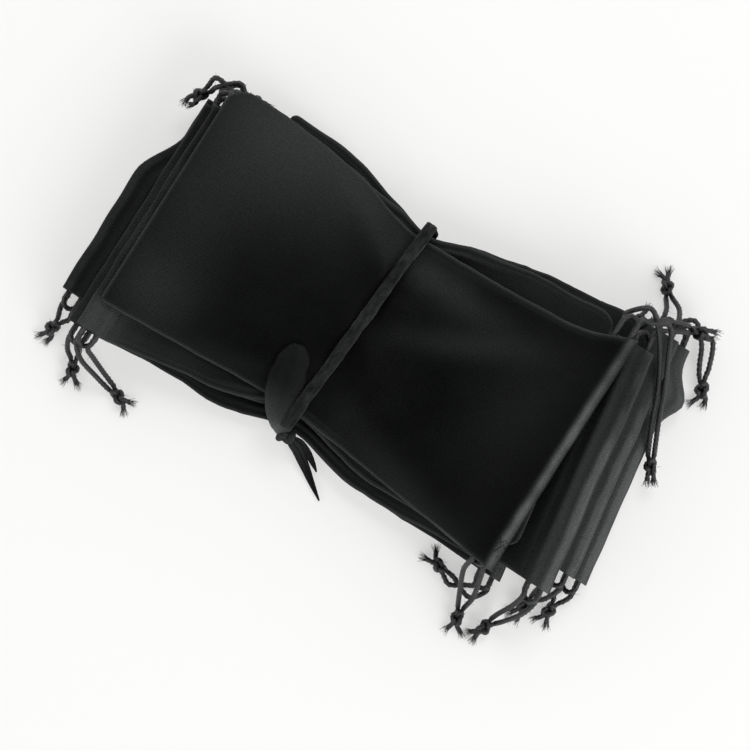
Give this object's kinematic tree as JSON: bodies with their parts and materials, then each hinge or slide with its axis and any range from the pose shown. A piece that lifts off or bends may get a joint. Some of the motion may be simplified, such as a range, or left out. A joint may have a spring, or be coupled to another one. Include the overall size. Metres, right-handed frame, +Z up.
{
  "type": "bundle of drawstring pouches",
  "caption": "Flat black drawstring pouches stacked in both directions and tied round the middle with a strip of the same cloth, knotted cords at both ends.",
  "frame": {"origin": "on the table under the middle of the bundle's plan box, free cords left out", "axes": "+X along the pouches towards the end with five mouths, +Y across them, +Z up from the table"},
  "size_m": [0.2378, 0.167, 0.0398],
  "materials": {
    "pouch_cloth": "matt black microfibre cloth with a short soft nap and a fine twill grain",
    "cord_braid": "black braided polyester cord with a dull sheen",
    "tie_cloth": "torn strip of the same matt black cloth"
  },
  "bodies": {
    "bundle": {"pouch_1_back_panel": "pouch_cloth", "pouch_1_front_panel": "pouch_cloth", "pouch_2_back_panel": "pouch_cloth", "pouch_2_front_panel": "pouch_cloth", "pouch_3_back_panel": "pouch_cloth", "pouch_3_front_panel": "pouch_cloth", "pouch_4_back_panel": "pouch_cloth", "pouch_4_front_panel": "pouch_cloth", "pouch_5_back_panel": "pouch_cloth", "pouch_5_front_panel": "pouch_cloth", "pouch_6_back_panel": "pouch_cloth", "pouch_6_front_panel": "pouch_cloth", "pouch_7_back_panel": "pouch_cloth", "pouch_7_front_panel": "pouch_cloth", "pouch_8_back_panel": "pouch_cloth", "pouch_8_front_panel": "pouch_cloth", "tie_band": "tie_cloth", "tie_knot": "tie_cloth", "tie_flap": "tie_cloth", "tie_tail": "tie_cloth"},
    "pouch_1_left_string": {"pouch_1_left_drawstring": "cord_braid", "pouch_1_left_knot": "cord_braid"},
    "pouch_1_right_string": {"pouch_1_right_drawstring": "cord_braid", "pouch_1_right_knot": "cord_braid"},
    "pouch_2_left_string": {"pouch_2_left_drawstring": "cord_braid", "pouch_2_left_knot": "cord_braid"},
    "pouch_2_right_string": {"pouch_2_right_drawstring": "cord_braid", "pouch_2_right_knot": "cord_braid"},
    "pouch_3_left_string": {"pouch_3_left_drawstring": "cord_braid", "pouch_3_left_knot": "cord_braid"},
    "pouch_3_right_string": {"pouch_3_right_drawstring": "cord_braid", "pouch_3_right_knot": "cord_braid"},
    "pouch_4_left_string": {"pouch_4_left_drawstring": "cord_braid", "pouch_4_left_knot": "cord_braid"},
    "pouch_4_right_string": {"pouch_4_right_drawstring": "cord_braid", "pouch_4_right_knot": "cord_braid"},
    "pouch_5_left_string": {"pouch_5_left_drawstring": "cord_braid", "pouch_5_left_knot": "cord_braid"},
    "pouch_5_right_string": {"pouch_5_right_drawstring": "cord_braid", "pouch_5_right_knot": "cord_braid"},
    "pouch_6_left_string": {"pouch_6_left_drawstring": "cord_braid", "pouch_6_left_knot": "cord_braid"},
    "pouch_6_right_string": {"pouch_6_right_drawstring": "cord_braid", "pouch_6_right_knot": "cord_braid"},
    "pouch_7_left_string": {"pouch_7_left_drawstring": "cord_braid", "pouch_7_left_knot": "cord_braid"},
    "pouch_7_right_string": {"pouch_7_right_drawstring": "cord_braid", "pouch_7_right_knot": "cord_braid"},
    "pouch_8_left_string": {"pouch_8_left_drawstring": "cord_braid", "pouch_8_left_knot": "cord_braid"},
    "pouch_8_right_string": {"pouch_8_right_drawstring": "cord_braid", "pouch_8_right_knot": "cord_braid"}
  },
  "joints": [
    {"name": "pouch_1_left_pull", "type": "slide", "parent": "bundle", "child": "pouch_1_left_string", "axis": [-0.1474, 0.9891, 0], "range_m": [0, 0.002]},
    {"name": "pouch_1_right_pull", "type": "slide", "parent": "bundle", "child": "pouch_1_right_string", "axis": [0.1474, -0.9891, 0], "range_m": [0, 0.002]},
    {"name": "pouch_2_left_pull", "type": "slide", "parent": "bundle", "child": "pouch_2_left_string", "axis": [0, 1, 0], "range_m": [0, 0.002]},
    {"name": "pouch_2_right_pull", "type": "slide", "parent": "bundle", "child": "pouch_2_right_string", "axis": [0, -1, 0], "range_m": [0, 0.002]},
    {"name": "pouch_3_left_pull", "type": "slide", "parent": "bundle", "child": "pouch_3_left_string", "axis": [-0.1474, 0.9891, 0], "range_m": [0, 0.002]},
    {"name": "pouch_3_right_pull", "type": "slide", "parent": "bundle", "child": "pouch_3_right_string", "axis": [0.1474, -0.9891, 0], "range_m": [0, 0.002]},
    {"name": "pouch_4_left_pull", "type": "slide", "parent": "bundle", "child": "pouch_4_left_string", "axis": [0, 1, 0], "range_m": [0, 0.002]},
    {"name": "pouch_4_right_pull", "type": "slide", "parent": "bundle", "child": "pouch_4_right_string", "axis": [0, -1, 0], "range_m": [0, 0.002]},
    {"name": "pouch_5_left_pull", "type": "slide", "parent": "bundle", "child": "pouch_5_left_string", "axis": [-0.1474, 0.9891, 0], "range_m": [0, 0.002]},
    {"name": "pouch_5_right_pull", "type": "slide", "parent": "bundle", "child": "pouch_5_right_string", "axis": [0.1474, -0.9891, 0], "range_m": [0, 0.002]},
    {"name": "pouch_6_left_pull", "type": "slide", "parent": "bundle", "child": "pouch_6_left_string", "axis": [-0.1474, 0.9891, 0], "range_m": [0, 0.002]},
    {"name": "pouch_6_right_pull", "type": "slide", "parent": "bundle", "child": "pouch_6_right_string", "axis": [0.1474, -0.9891, 0], "range_m": [0, 0.002]},
    {"name": "pouch_7_left_pull", "type": "slide", "parent": "bundle", "child": "pouch_7_left_string", "axis": [0, 1, 0], "range_m": [0, 0.002]},
    {"name": "pouch_7_right_pull", "type": "slide", "parent": "bundle", "child": "pouch_7_right_string", "axis": [0, -1, 0], "range_m": [0, 0.002]},
    {"name": "pouch_8_left_pull", "type": "slide", "parent": "bundle", "child": "pouch_8_left_string", "axis": [0, 0.9996, 0.0275], "range_m": [0, 0.002]},
    {"name": "pouch_8_right_pull", "type": "slide", "parent": "bundle", "child": "pouch_8_right_string", "axis": [0, -0.9996, -0.0275], "range_m": [0, 0.002]}
  ]
}
